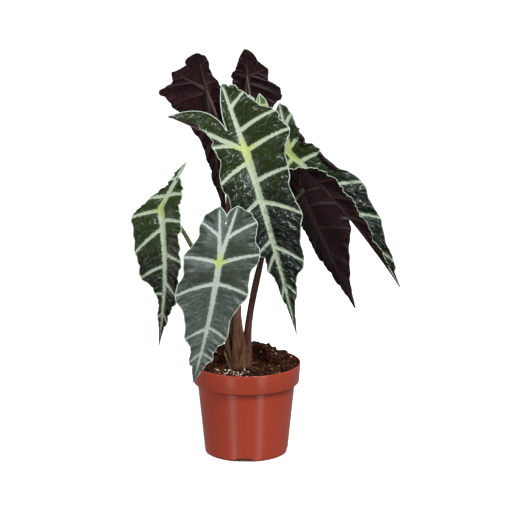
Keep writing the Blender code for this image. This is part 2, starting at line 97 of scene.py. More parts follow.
def leafUpper(name, look):
    # Waxy upper skin: a thin clear cuticle, so it mirrors the lamps in streaks between sunken pale ribs.
    material, shader = newMaterial(name, Roughness=look["gloss"], IOR=1.48, Specular_IOR_Level=look["shine"])
    ribDistance, marginDistance, jointDistance, awayDistance = [
        addNode(material, "Attribute", attribute_name=distance, output="Fac") for distance in distances]
    place = addNode(material, "UVMap", uv_map="flat")
    rows = addNode(material, "UVMap", uv_map="rows")
    ragged = addNode(material, "TexNoise", {"Vector": place, "Scale": 330, "Detail": 4, "Roughness": 0.6})
    uneven = addNode(material, "Math", {0: ragged, 1: 3.6, 2: -1.8}, operation="MULTIPLY_ADD")
    raggedRib = addNode(material, "Math", {0: ribDistance, 1: uneven}, operation="ADD")
    inRib = addNode(material, "MapRange", {"Value": raggedRib, "From Min": 0.8, "From Max": -0.45}, **eased)
    ribCore = addNode(material, "MapRange", {"Value": ribDistance, "From Min": -1.6, "From Max": -3.0},
                      **eased)
    nearRib = addNode(material, "MapRange", {"Value": raggedRib, "From Min": 4.0, "From Max": 0.0,
                                             "To Max": look["halo"]}, **eased)
    inMargin = addNode(material, "MapRange", {"Value": marginDistance, "From Min": 1.15, "From Max": 0.6},
                       **eased)
    nearJoint = addNode(material, "MapRange",
                        {"Value": jointDistance, "From Min": look["youngTo"], "From Max": 3}, **eased)
    awayFromJoint = addNode(material, "MapRange", {"Value": awayDistance, "From Min": 15, "From Max": 85},
                            **eased)

    moved, stretched, mesh = fineMesh(material, rows)
    inMesh = addNode(material, "MapRange",
                     {"Value": mesh, "From Min": 0.07, "From Max": 0.01, "To Max": 0.35}, **eased)
    # Fine veins leave the ribs about every 5 mm and break up here and there.
    ahead = addNode(material, "SeparateXYZ", {0: moved}, output="Y")
    count = addNode(material, "Math", {0: ahead, 1: 190}, operation="MULTIPLY")
    fromLine = addNode(material, "Math", {0: count, 1: 0.5}, operation="PINGPONG")
    onLine = addNode(material, "MapRange", {"Value": fromLine, "From Min": 0.11, "From Max": 0.03}, **eased)
    patchy = addNode(material, "TexNoise", {"Vector": place, "Scale": 90, "Detail": 2})
    broken = addNode(material, "MapRange", {"Value": patchy, "From Min": 0.46, "From Max": 0.6})
    onLine = addNode(material, "Math", {0: onLine, 1: broken}, operation="MULTIPLY")
    fine = addNode(material, "Math", {0: onLine, 1: inMesh}, operation="MAXIMUM")
    # Away from the joint the fine veins are drawn stronger and paler: partly the real veins, partly a painted
    # highlight for the pale glints on the lower blade.
    amount = addNode(material, "MapRange",
                     {"Value": awayFromJoint, "To Min": look["fineNear"], "To Max": look["fineVeinsAndSheenFar"]})
    inWeb = addNode(material, "Math", {0: fine, 1: amount}, operation="MULTIPLY")

    cloudy = addNode(material, "TexNoise", {"Vector": place, "Scale": 45, "Detail": 5})
    near = addNode(material, "Mix", {"Factor": cloudy, "A": look["nearDark"], "B": look["nearLight"]},
                   **asColour)
    far = addNode(material, "Mix", {"Factor": cloudy, "A": look["farDark"], "B": look["farLight"]},
                  **asColour)
    blade = addNode(material, "Mix", {"Factor": awayFromJoint, "A": near, "B": far}, **asColour)
    blade = addNode(material, "Mix", {"Factor": nearRib, "A": blade, "B": leafLook["web"]}, **asColour)
    blade = addNode(material, "Mix", {"Factor": inWeb, "A": blade, "B": look["rib"]}, **asColour)
    rib = addNode(material, "Mix", {"Factor": ragged, "A": look["rib"], "B": look["ribPale"]}, **asColour)
    core = addNode(material, "Math", {0: ribCore, 1: 0.55}, operation="MULTIPLY")
    rib = addNode(material, "Mix", {"Factor": core, "A": rib, "B": leafLook["ribCore"]}, **asColour)
    rib = addNode(material, "Mix", {"Factor": nearJoint, "A": rib, "B": look["young"]}, **asColour)
    colour = addNode(material, "Mix", {"Factor": inRib, "A": blade, "B": rib}, **asColour)
    colour = addNode(material, "Mix", {"Factor": inMargin, "A": colour, "B": leafLook["margin"]}, **asColour)
    feed(material, shader.inputs["Base Color"], colour)

    # Small puckers of 5 to 10 mm over the modelled ones, and a cell grain drawn at 1.5 mm so that it shows.
    pucker = addNode(material, "TexNoise",
                     {"Vector": stretched, "Scale": 0.6, "Detail": 1, "Distortion": 0.7})
    grain = addNode(material, "TexNoise", {"Vector": place, "Scale": 700, "Detail": 2})
    deeper = addNode(material, "MapRange", {"Value": awayFromJoint, "To Min": 0.3, "To Max": 1})
    pucker = addNode(material, "Math", {0: pucker, 1: deeper}, operation="MULTIPLY")
    height = addNode(material, "Math", {0: grain, 1: 0.02, 2: pucker}, operation="MULTIPLY_ADD")
    height = addNode(material, "Math", {0: inMesh, 1: -0.12, 2: height}, operation="MULTIPLY_ADD")
    bump = addNode(material, "Bump", {"Height": height, "Strength": look["pucker"], "Distance": 0.0034})
    feed(material, shader.inputs["Normal"], bump)
    rough = addNode(material, "MapRange", {"Value": inRib, "To Min": look["gloss"], "To Max": 0.5})
    feed(material, shader.inputs["Roughness"], rough)
    return material


def leafUnder(name, look):
    # Lower skin of the leaf: dark maroon, satin, with raised ribs a shade paler.
    material, shader = newMaterial(name, Roughness=0.42, IOR=1.42, Specular_IOR_Level=0.14)
    ribDistance = addNode(material, "Attribute", attribute_name="ribDistance", output="Fac")
    place = addNode(material, "UVMap", uv_map="flat")
    rows = addNode(material, "UVMap", uv_map="rows")
    cloudy = addNode(material, "TexNoise", {"Vector": place, "Scale": 60, "Detail": 5})
    share = addNode(material, "MapRange", {"Value": cloudy, "From Min": 0.35, "From Max": 0.7})
    blade = addNode(material, "Mix", {"Factor": share, "A": look["dark"], "B": look["light"]}, **asColour)
    _, stretched, mesh = fineMesh(material, rows)
    inMesh = addNode(material, "MapRange",
                     {"Value": mesh, "From Min": 0.1, "From Max": 0.02, "To Max": 0.06}, **eased)
    inRib = addNode(material, "MapRange",
                    {"Value": ribDistance, "From Min": -0.8, "From Max": -1.8, "To Max": 0.38}, **eased)
    colour = addNode(material, "Mix", {"Factor": inMesh, "A": blade, "B": look["rib"]}, **asColour)
    colour = addNode(material, "Mix", {"Factor": inRib, "A": colour, "B": look["rib"]}, **asColour)
    feed(material, shader.inputs["Base Color"], colour)
    pucker = addNode(material, "TexNoise",
                     {"Vector": stretched, "Scale": 0.9, "Detail": 3, "Distortion": 0.5})
    height = addNode(material, "Math", {0: inMesh, 1: 0.5, 2: pucker}, operation="MULTIPLY_ADD")
    bump = addNode(material, "Bump", {"Height": height, "Strength": 0.3, "Distance": 0.001})
    feed(material, shader.inputs["Normal"], bump)
    return material


def leafEdge():
    # Cut edge of the leaf: a thin pale line, drier in places.
    material, shader = newMaterial("leaf edge, pale", Roughness=0.5)
    place = addNode(material, "TexCoord", output="Object")
    patchy = addNode(material, "TexNoise", {"Vector": place, "Scale": 150, "Detail": 2})
    colour = addNode(material, "Mix", {"Factor": patchy, "A": "#B9C2AA", "B": "#8E8A6E"}, **asColour)
    feed(material, shader.inputs["Base Color"], colour)
    return material


stalkLooks = {
    "brown": {"low": "#513021", "lowPale": "#6E4F37", "high": "#50362A", "highPale": "#6C5438",
              "dark": "#341D14", "from": 0.19, "to": 0.33},
    "red": {"low": "#4C2D1E", "lowPale": "#694733", "high": "#3F2018", "highPale": "#5C3B29",
            "dark": "#2C1611", "from": 0.13, "to": 0.20},
    "maroon": {"low": "#492E20", "lowPale": "#644937", "high": "#271410", "highPale": "#3B221D",
               "dark": "#1D0D0A", "from": 0.17, "to": 0.26},
    "olive": {"low": "#4C3424", "lowPale": "#685039", "high": "#4B4F2B", "highPale": "#6A6B3E",
              "dark": "#33331F", "from": 0.19, "to": 0.23},
}


def stalkSkin(name, look):
    # Living stalk: smooth skin with fine paler lines along it, sheathed and paler near the soil.
    material, shader = newMaterial(name, Roughness=0.42, IOR=1.42, Specular_IOR_Level=0.35)
    place = addNode(material, "UVMap", uv_map="along")
    whole = addNode(material, "TexCoord", output="Object")
    height = addNode(material, "SeparateXYZ", {0: whole}, output="Z")
    lines = addNode(material, "Mapping", {"Vector": place, "Scale": (620, 22, 1)})
    line = addNode(material, "TexNoise", {"Vector": lines, "Scale": 1.0, "Detail": 4})
    pale = addNode(material, "MapRange", {"Value": line, "From Min": 0.42, "From Max": 0.66})
    blotch = addNode(material, "TexNoise", {"Vector": place, "Scale": 60, "Detail": 4})
    low = addNode(material, "Mix", {"Factor": pale, "A": look["low"], "B": look["lowPale"]}, **asColour)
    high = addNode(material, "Mix", {"Factor": pale, "A": look["high"], "B": look["highPale"]}, **asColour)
    share = addNode(material, "MapRange",
                    {"Value": height, "From Min": look["from"], "From Max": look["to"]})
    colour = addNode(material, "Mix", {"Factor": share, "A": low, "B": high}, **asColour)
    dark = addNode(material, "MapRange", {"Value": blotch, "From Min": 0.48, "From Max": 0.8, "To Max": 0.6})
    colour = addNode(material, "Mix", {"Factor": dark, "A": colour, "B": look["dark"]}, **asColour)
    feed(material, shader.inputs["Base Color"], colour)
    bump = addNode(material, "Bump", {"Height": line, "Strength": 0.35, "Distance": 0.0004})
    feed(material, shader.inputs["Normal"], bump)
    return material


def drySheath():
    # Dead sheath: papery, tan, with dark fibres along it.
    material, shader = newMaterial("dry sheath, papery", Roughness=0.75, IOR=1.4)
    place = addNode(material, "TexCoord", output="Object")
    lines = addNode(material, "Mapping", {"Vector": place, "Scale": (600, 600, 30)})
    line = addNode(material, "TexNoise", {"Vector": lines, "Scale": 1.0, "Detail": 5})
    share = addNode(material, "MapRange", {"Value": line, "From Min": 0.35, "From Max": 0.65})
    colour = addNode(material, "Mix", {"Factor": share, "A": "#523423", "B": "#7C5A3D"}, **asColour)
    feed(material, shader.inputs["Base Color"], colour)
    bump = addNode(material, "Bump", {"Height": line, "Strength": 0.35, "Distance": 0.0005})
    feed(material, shader.inputs["Normal"], bump)
    return material


def potPlastic():
    # Polypropylene, injection moulded: satin, coloured right through, with faint flow clouds and fine scuffs.
    material, shader = newMaterial("polypropylene, injection moulded, terracotta", Roughness=0.36, IOR=1.45,
                                   Specular_IOR_Level=0.4)
    place = addNode(material, "TexCoord", output="Object")
    cloud = addNode(material, "TexNoise", {"Vector": place, "Scale": 22, "Detail": 3})
    colour = addNode(material, "Mix", {"Factor": cloud, "A": "#9D3824", "B": "#A63E29"}, **asColour)
    # A thin line of painted shade sits in the corner under the rim, where the band's shadow falls on the
    # wall.
    height = addNode(material, "SeparateXYZ", {0: place}, output="Z")
    level = addNode(material, "VectorMath", {0: place, 1: (1, 1, 0)}, operation="MULTIPLY")
    radius = addNode(material, "VectorMath", {0: level}, operation="LENGTH", output="Value")
    high = addNode(material, "MapRange",
                   {"Value": height, "From Min": 0.0770, "From Max": 0.0780, "To Max": 0.85}, **eased)
    inner = addNode(material, "MapRange", {"Value": radius, "From Min": 0.0566, "From Max": 0.0562})
    shadeUnderRim = addNode(material, "Math", {0: high, 1: inner}, operation="MULTIPLY")
    colour = addNode(material, "Mix", {"Factor": shadeUnderRim, "A": colour, "B": "#45160D"}, **asColour)
    feed(material, shader.inputs["Base Color"], colour)
    scuffs = addNode(material, "TexNoise", {"Vector": place, "Scale": 130, "Detail": 2})
    rough = addNode(material, "MapRange", {"Value": scuffs, "To Min": 0.22, "To Max": 0.28})
    feed(material, shader.inputs["Roughness"], rough)
    bump = addNode(material, "Bump", {"Height": scuffs, "Strength": 0.03, "Distance": 0.0003})
    feed(material, shader.inputs["Normal"], bump)
    return material


def earth(name, dark, light, red, scale):
    # Peat: matt, near black where damp, with red-brown fibres.
    material, shader = newMaterial(name, Roughness=0.92, IOR=1.35, Specular_IOR_Level=0.15)
    place = addNode(material, "TexCoord", output="Object")
    fine = addNode(material, "TexNoise", {"Vector": place, "Scale": scale, "Detail": 6, "Roughness": 0.7})
    share = addNode(material, "MapRange", {"Value": fine, "From Min": 0.38, "From Max": 0.68})
    colour = addNode(material, "Mix", {"Factor": share, "A": dark, "B": light}, **asColour)
    bits = addNode(material, "TexVoronoi", {"Vector": place, "Scale": 700.0}, output="Color")
    pick = addNode(material, "SeparateColor", {0: bits})
    some = addNode(material, "MapRange", {"Value": pick, "From Min": 0.72, "From Max": 0.8})
    colour = addNode(material, "Mix", {"Factor": some, "A": colour, "B": red}, **asColour)
    feed(material, shader.inputs["Base Color"], colour)
    bump = addNode(material, "Bump", {"Height": fine, "Strength": 0.9, "Distance": 0.0015})
    feed(material, shader.inputs["Normal"], bump)
    return material


def perliteGrain():
    # Expanded perlite: chalky white glass foam, slightly stained by the peat.
    material, shader = newMaterial("perlite, chalky", Roughness=0.85)
    place = addNode(material, "TexCoord", output="Object")
    stain = addNode(material, "TexNoise", {"Vector": place, "Scale": 300, "Detail": 3})
    share = addNode(material, "MapRange", {"Value": stain, "From Min": 0.4, "From Max": 0.7})
    colour = addNode(material, "Mix", {"Factor": share, "A": "#F2EADC", "B": "#BBA285"}, **asColour)
    feed(material, shader.inputs["Base Color"], colour)
    return material


# Building

def addObject(name, bm):
    mesh = bpy.data.meshes.new(name)
    bm.to_mesh(mesh)
    bm.free()
    made = bpy.data.objects.new(name, mesh)
    bpy.context.scene.collection.objects.link(made)
    return made


def finishPiece(name, bm, material, slot, nodes=()):
    piece = addObject(name, bm)
    for one in material if isinstance(material, list) else [material]:
        piece.data.materials.append(one)
    piece.data.shade_smooth()
    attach(piece, "root")
    if nodes:
        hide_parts(*nodes)
    return piece


def smoothstep(low, high, value):
    share = np.clip((value - low) / (high - low), 0, 1)
    return share * share * (3 - 2 * share)


def noiseAt(points, scale, seed):
    return np.array([noise.noise(Vector((p[0] * scale + seed, p[1] * scale - seed, p[2] * scale)))
                     for p in points])


# Each leaf is drawn flat in millimetres, its stalk's joint at (0, 0) and its point at (0, length).
# "ribs" lists, from back lobe to point, where a side rib leaves the main rib and where it meets the margin.
leaves = {
    "centre": {
        "at": (0, -14, 339), "tip": (0.26, -0.45, -0.86), "face": (-0.07, -0.89, 0.45), "length": 206,
        "bow": 2, "lobes": (92, 85), "splay": (51, -4), "sinus": 0.36, "sinusBulge": (0.4, 0.16),
        "fold": (8, 8), "lobeFold": (8, 8), "bend": 30, "lobeBend": 15, "scallop": 5,
        "ribs": (
            [(-92, 72, -59), (-50, 40, -33), (-12, 34, -11), (13, 36, 30), (55, 33, 78), (100, 17, 112),
             (114, 12, 133), (150, 5, 165), (206, 0, 206)],
            [(-85, -6, -84), (-52, 15, -66), (-23, 43, -34), (1, 52, -9), (36, 40, 31), (58, 40, 82),
             (108, 29, 132), (148, 12, 164), (206, 0, 206)],
        ),
        "foot": (-3, -19.5), "stalk": [(-10, -17, 175), (-19, -3, 285)], "look": "dark", "wave": 2.2,
        "quilt": 1.25, "stalkLook": "brown",
    },
    "front": {
        "at": (-27, -88, 235), "tip": (-0.21, -0.39, -0.90), "face": (0.04, -0.92, 0.39), "length": 132,
        "bow": 2.5, "lobes": (60, 64), "splay": (12, 6), "sinus": 0.68, "sinusBulge": (0.2, 0.2),
        "fold": (6, 6), "lobeFold": (6, 6), "bend": 26, "lobeBend": 12, "scallop": 6, "lobeDip": -1.2,
        "ribs": (
            [(-60, 12, -58), (-26, 28, -36), (2, 38, 5), (24, 38, 46), (72, 18, 88), (98, 9, 112),
             (132, 0, 132)],
            [(-64, 7, -64), (-26, 30, -49), (3, 41, -15), (24, 37, 29), (70, 25, 79), (98, 15, 103),
             (132, 0, 132)],
        ),
        "foot": (-10, -20), "stalk": [(-11, -32, 160), (-17, -58, 218)], "look": "satin", "wave": 1.2,
        "quilt": 0.6, "stalkLook": "brown",
    },
    "left": {
        "at": (-90, -35, 281), "tip": (-0.09, -0.45, -0.89), "face": (-0.32, -0.83, 0.46), "length": 148,
        "bow": 9, "lobes": (57, 39), "splay": (-24, 27), "sinus": 0.8, "sinusBulge": (0.06, 0.15),
        "fold": (8, 8), "lobeFold": (8, 8), "bend": 26, "lobeBend": 10, "scallop": 3,
        "ribs": (
            [(-57, -23, -52), (-35, -7, -32), (-14, 15, -10), (3, 32, 12), (22, 25, 50), (62, 18, 76),
             (92, 2, 93), (112, 0, 118), (148, 0, 148)],
            [(-39, 18, -35), (-16, 24, -14), (14, 26, 16), (51, 28, 59), (80, 24, 98), (112, 11, 124),
             (148, 0, 148)],
        ),
        "foot": (-15.5, -14), "stalk": [(-26, -18, 155), (-54, -22, 227), (-75, -21, 264)], "look": "older",
        "wave": 1.5, "quilt": 0.9, "stalkLook": "olive",
    },
    "back_left": {
        "at": (-42, 46, 395), "tip": (0.12, 0.12, -0.98), "face": (-0.04, 0.99, 0.12), "length": 130,
        "bow": 0, "lobes": (45, 44), "splay": (-8, 55), "sinus": 0.84, "sinusBulge": (0.42, 0.05),
        "fold": (6, 6), "lobeFold": (6, 6), "bend": 30, "lobeBend": 8, "scallop": 3,
        "ribs": (
            [(-45, -6, -45), (-30, 5, -34), (-8, 13, -8), (14, 32, 16), (44, 30, 50), (80, 16, 86),
             (130, 0, 130)],
            [(-44, 36, -26), (-31, 37, -14), (-19, 54, -4), (2, 41, 14), (24, 24, 39), (56, 11, 76),
             (90, 8, 100), (130, 0, 130)],
        ),
        "foot": (-14, -6.5), "stalk": [(-17, 4, 170), (-25, 10, 280), (-27, 17, 352)], "look": "dark",
        "wave": 0.9, "quilt": 0.3, "stalkLook": "maroon",
    },
    "back_centre": {
        "at": (2, 80, 406), "tip": (-0.16, 0.12, -0.98), "face": (0.06, 0.99, 0.12), "length": 110,
        "bow": 0, "lobes": (24, 32), "splay": (60, 16), "sinus": 0.87, "sinusBulge": (0.12, 0.3),
        "fold": (6, 6), "lobeFold": (6, 6), "bend": 30, "lobeBend": 8, "scallop": 2,
        "ribs": (
            [(-24, 21, -12), (-11, 23, 1), (-2, 38, 8), (8, 41, 19), (22, 32, 32), (44, 20, 62),
             (110, 0, 110)],
            [(-32, 9, -31), (-12, 14, -13), (2, 19, 1), (18, 17, 16), (50, 16, 60), (110, 0, 110)],
        ),
        "foot": (-7.5, -3.5), "stalk": [(-9, 6.5, 162), (-4.5, 18, 220), (3, 34, 285), (6, 52, 362)],
        "look": "dark", "wave": 0.8, "quilt": 0.3, "stalkLook": "maroon",
    },
    "young": {
        "at": (14.5, 22, 370), "tip": (0.13, -0.29, -0.95), "face": (-0.01, -0.96, 0.29), "length": 66,
        "bow": 0, "lobes": (27, 26), "splay": (18, 8), "sinus": 0.5, "sinusBulge": (0.2, 0.2),
        "fold": (10, 10), "lobeFold": (10, 10), "bend": 26, "lobeBend": 8, "scallop": 1.5,
        "ribs": (
            [(-27, 9, -26), (-12, 13, -10), (2, 14, 4), (20, 11, 26), (40, 6, 46), (66, 0, 66)],
            [(-26, 4, -26), (-12, 11, -12), (2, 13, 2), (20, 11, 24), (40, 6, 46), (66, 0, 66)],
        ),
        "foot": (-7, -12), "stalk": [(-9.5, -7, 160), (-4, 2, 196), (10, 18, 275), (16, 33, 335)],
        "look": "fresh", "wave": 0.6, "quilt": 0.4, "stalkLook": "brown",
    },
    "right": {
        "at": (47, 5, 332), "tip": (0.71, -0.35, -0.61), "face": (0.27, -0.66, 0.70), "length": 188,
        "bow": 0, "lobes": (44, 58), "splay": (25, 38), "sinus": 0.4, "sinusBulge": (0.3, 0.3),
        "fold": (100, 35), "lobeFold": (14, 35), "foldFrom": 8, "foldTo": 44, "bend": 24, "lobeBend": 12,
        "scallop": 4,
        "ribs": (
            [(-44, 19, -40), (-16, 22, -14), (6, 24, 13), (22, 19, 33), (44, 23, 58), (66, 21, 86),
             (94, 15, 114), (132, 6, 152), (188, 0, 188)],
            [(-58, 36, -46), (-30, 35, -28), (-6, 30, -4), (14, 29, 25), (52, 36, 75), (88, 26, 116),
             (130, 10, 162), (188, 0, 188)],
        ),
        "foot": (2, -13), "stalk": [(3.5, -11, 150), (15, -6, 208), (31, 1, 285)], "look": "dark",
        "wave": 1.6, "quilt": 0.9, "stalkLook": "red", "curls": [(1, 1.9, 2.4, 8), (1, 3.05, 3.5, 8)],
    },
    "right_back": {
        "at": (59, 35, 287), "tip": (0.40, 0.14, -0.90), "face": (-0.15, 0.98, 0.09), "length": 147,
        "bow": 0, "lobes": (30, 30), "splay": (20, 20), "sinus": 0.92, "sinusBulge": (0.2, 0.2),
        "fold": (6, 58), "lobeFold": (6, 20), "bend": 26, "lobeBend": 8, "scallop": 2,
        "ribs": (
            [(-30, 12, -28), (-12, 24, -12), (4, 31, 14), (20, 40, 40), (48, 33, 67), (80, 14, 104),
             (147, 0, 147)],
            [(-30, 13, -30), (-12, 27, -12), (4, 26, 12), (24, 26, 42), (54, 24, 76), (88, 12, 110),
             (147, 0, 147)],
        ),
        "foot": (-0.5, -6), "stalk": [(3, -2.5, 150), (14.5, 3, 208), (36, 19, 258)], "look": "dark",
        "wave": 0.6, "quilt": 0.3, "stalkLook": "olive",
    },
}
upperLooks = {
    "dark": {"nearDark": "#131A07", "nearLight": "#232D0F", "farDark": "#090D08", "farLight": "#121811",
             "rib": "#8A927C", "ribPale": "#9AA28C", "young": "#98A162", "youngTo": 24, "halo": 0.08,
             "fineNear": 0.04, "fineVeinsAndSheenFar": 0.24, "pucker": 1.0, "gloss": 0.18, "shine": 0.18},
    "older": {"nearDark": "#171E0B", "nearLight": "#283214", "farDark": "#0B0F09", "farLight": "#161C13",
              "rib": "#889079", "ribPale": "#979F8A", "young": "#869259", "youngTo": 16, "halo": 0.08,
              "fineNear": 0.06, "fineVeinsAndSheenFar": 0.32, "pucker": 1.0, "gloss": 0.19, "shine": 0.18},
    # In the satin look the far colours are lighter and greyer than the near ones: a painted sheen on the
    # lower part of the blade.
    "satin": {"nearDark": "#20261B", "nearLight": "#2F352A", "farDark": "#333931", "farLight": "#4E534C",
              "rib": "#8B9287", "ribPale": "#9AA197", "young": "#939D5C", "youngTo": 11, "halo": 0.12,
              "fineNear": 0.16, "fineVeinsAndSheenFar": 0.55, "pucker": 0.3, "gloss": 0.38, "shine": 0.2},
    "fresh": {"nearDark": "#33451F", "nearLight": "#465A28", "farDark": "#263618", "farLight": "#3A4A22",
              "rib": "#94A46B", "ribPale": "#A0AE7C", "young": "#98A162", "youngTo": 20, "halo": 0.25,
              "fineNear": 0.3, "fineVeinsAndSheenFar": 0.4, "pucker": 0.4, "gloss": 0.3, "shine": 0.2},
}
underLook = {"dark": "#160809", "light": "#271214", "rib": "#644A48"}
bladeShape = {"mainRib": (3.6, 3.1, 1.9, 0.3), "lobeRib": (2.7, 2.1, 0.8), "sideRib": (2.2, 1.7, 0.9),
              "curlRadius": 2.2, "thickness": 1.2, "rowStep": 0.9, "columns": 40}


def curveThrough(a, b, c, d, u):
    # From b to c, in the direction that a and d give.
    return (2 * b + (c - a) * u + (2 * a - 5 * b + 4 * c - d) * u**2 + (3 * b - a - 3 * c + d) * u**3) / 2


def ribPoint(leaf, side, t):
    angle = radians(leaf["splay"][side])
    back, ahead = np.minimum(t, 0), np.maximum(t, 0)
    bow = leaf["bow"] * np.sin(pi * ahead / leaf["length"])
    return np.stack([-back * sin(angle) + (bow if side else -bow), back * cos(angle) + ahead], -1)


def marginPoint(leaf, side, w):
    ends = np.array([rib[1:] for rib in leaf["ribs"][side]], float)
    ends[0] = ribPoint(leaf, side, -float(leaf["lobes"][side]))
    last = len(ends) - 1
    i = np.minimum(w.astype(int), last - 1)
    u = (w - i)[:, None]
    b, c = ends[i], ends[i + 1]
    a = np.where((i > 0)[:, None], ends[np.maximum(i - 1, 0)], 2 * b - c)
    d = np.where((i < last - 1)[:, None], ends[np.minimum(i + 2, last)], 2 * c - b)
    return curveThrough(a, b, c, d, u)


def rowNumber(leaf, side, t):
    starts = [rib[0] for rib in leaf["ribs"][side]]
    starts[0] = -leaf["lobes"][side]
    return np.interp(t, starts, np.arange(len(starts)))


def outerStrip(leaf, side, t, v):
    # Main rib at v = 0, margin at v = 1; the margin dips between ribs and the blade swells there.
    w = rowNumber(leaf, side, t)
    rib, margin = ribPoint(leaf, side, t), marginPoint(leaf, side, w)
    width = np.maximum(np.linalg.norm(margin - rib, axis=-1), 1e-6)
    between = np.sin(pi * w) ** 2
    dip = np.minimum(leaf["scallop"] * between, 0.2 * width)
    dip = np.where(w < 1, leaf.get("lobeDip", -0.035 * leaf["lobes"][side]) * np.sin(pi * w), dip)
    dip = dip + 0.9 * smoothstep(6, 16, width) * np.sin(w * 11 + side * 2) * np.sin(w * 4.7 + 1)
    margin = margin - (margin - rib) / width[:, None] * dip[:, None]
    middle = (rib + margin) / 2
    middle[:, 1] -= 0.08 * width
    u = v[:, None]
    flat = (1 - u) ** 2 * rib + 2 * u * (1 - u) * middle + u**2 * margin
    swell = 0.05 * np.minimum(width, 40) * between * 4 * v * (1 - v)
    return flat, swell, (1 - v) * width, v * width, w


def sinusStrip(leaf, side, t, v):
    # Lobe rib at v = 0, and at v = 1 the line where the lobes join, then the notch's edge to the lobe's tip.
    lobe, angle, other = leaf["lobes"][side], radians(leaf["splay"][side]), radians(leaf["splay"][1 - side])
    middle = (angle - other) / 2
    notch = leaf["sinus"] * min(leaf["lobes"]) * np.array([sin(middle), -cos(middle)])
    reach = leaf["sinus"] * lobe
    rib = ribPoint(leaf, side, t)
    closed = np.clip(-t / reach, 0, 1)[:, None] * notch
    f = np.clip((-t - reach) / (lobe - reach), 0, 1)[:, None]
    inwards = np.array([-cos(angle), -sin(angle)])
    outmost = ribPoint(leaf, side, -(reach + 0.45 * (lobe - reach)))
    bulge = outmost + inwards * leaf["sinusBulge"][side] * lobe
    margin = (1 - f) ** 2 * notch + 2 * f * (1 - f) * bulge + f**2 * ribPoint(leaf, side, -float(lobe))
    edge = np.where((-t <= reach)[:, None], closed, margin)
    u = v[:, None]
    width = np.linalg.norm(edge - rib, axis=-1)
    toMargin = np.where(-t > reach, (1 - v) * width, (1 - v) * width + (reach + t))
    return rib * (1 - u) + edge * u, toMargin, v * width


def shapeLeaf(leaf, side, flat, lift):
    # Folds, bends and places flat points of one half, in millimetres.
    length = leaf["length"]
    y = flat[:, 1]
    middle = -leaf["bow"] * np.sin(pi * np.clip(y, 0, length) / length)
    x = (flat[:, 0] if side == 0 else -flat[:, 0]) - middle
    ease = smoothstep(leaf.get("foldFrom", -0.075 * length), leaf.get("foldTo", 0.175 * length), y)
    lobeFold = np.where(x > 0, *leaf["lobeFold"])
    fold = np.radians(lobeFold + (np.where(x > 0, *leaf["fold"]) - lobeFold) * ease)
    across = middle + x * np.cos(fold) - lift * np.sin(fold) * np.sign(x)
    up = np.abs(x) * np.sin(fold) + lift * np.cos(fold)
    share = np.linspace(0, 1, 100)
    droop = np.radians(leaf["bend"]) * share
    alongs = np.concatenate([[0], np.cumsum(np.cos(droop[1:] - droop[1] / 2))]) * length / 99
    drops = np.concatenate([[0], np.cumsum(np.sin(droop[1:] - droop[1] / 2))]) * length / 99
    ahead, back = np.clip(y / length, 0, 1), np.clip(-y, 0, None)
    rate = np.radians(leaf["lobeBend"]) / max(leaf["lobes"])
    along = np.interp(ahead, share, alongs) - np.sin(rate * back) / rate
    drop = np.interp(ahead, share, drops) + (1 - np.cos(rate * back)) / rate
    lean = np.interp(ahead, share, droop) - rate * back
    along = along + up * np.sin(lean)
    rise = up * np.cos(lean) - drop
    tip = Vector(leaf["tip"]).normalized()
    face = Vector(leaf["face"])
    face = (face - tip * face.dot(tip)).normalized()
    left = tip.cross(face)
    placed = across[:, None] * np.array(left) + along[:, None] * np.array(tip)
    return np.array(leaf["at"], float) + placed + rise[:, None] * np.array(face)


def voronoiGap(p, q, seed):
    near = noise.voronoi(Vector((p, q, seed)))[0]
    return near[1] - near[0]


def curlMargin(leaf, side, flat, lift, toMargin, w):
    # Rolls the margin up and over where the leaf has dried a little, so that its maroon side shows.
    radius = bladeShape["curlRadius"]
    for curlSide, start, end, reach in leaf.get("curls", ()):
        if curlSide != side:
            continue
        share = smoothstep(start - 0.22, start, w) * smoothstep(end + 0.22, end, w)
        over = np.clip(reach - toMargin, 0, None)
        turn = share * over / radius
        rolled = np.where(share > 0.01, np.sin(turn) * radius / np.maximum(share, 0.01), over)
        raised = np.where(share > 0.01, (1 - np.cos(turn)) * radius / np.maximum(share, 0.01), 0)
        starts = [rib[0] for rib in leaf["ribs"][side]]
        outwards = flat - ribPoint(leaf, side, np.interp(w, np.arange(len(starts)), starts))
        outwards /= np.maximum(np.linalg.norm(outwards, axis=-1), 1e-6)[:, None]
        flat = flat + outwards * (rolled - over)[:, None]
        lift = lift + raised
    return flat, lift


def ribLines(leaf, side):
    # Every main rib of one half as points with their half-width: midrib, lobe rib and side ribs.
    length, lobe = leaf["length"], leaf["lobes"][side]
    size = (length / 150) ** 0.5
    t = np.linspace(0, length, 160)
    lines = [(ribPoint(leaf, side, t),
              np.interp(t / length, [0, 0.15, 0.6, 1], bladeShape["mainRib"]) * size)]
    t = np.linspace(-lobe, 0, 90)
    lines.append((ribPoint(leaf, side, t), np.interp(-t / lobe, [0, 0.3, 1], bladeShape["lobeRib"]) * size))
    for start, _, _ in leaf["ribs"][side][1:-1]:
        v = np.linspace(0, 1, 60)
        flat = outerStrip(leaf, side, np.full(60, float(start)), v)[0]
        wide = np.interp(abs(start) / length, [0, 0.5, 0.8], bladeShape["sideRib"])
        lines.append((flat, np.interp(v, [0, 0.3, 1], [wide, wide * 0.85, wide * 0.5]) * size))
    return lines


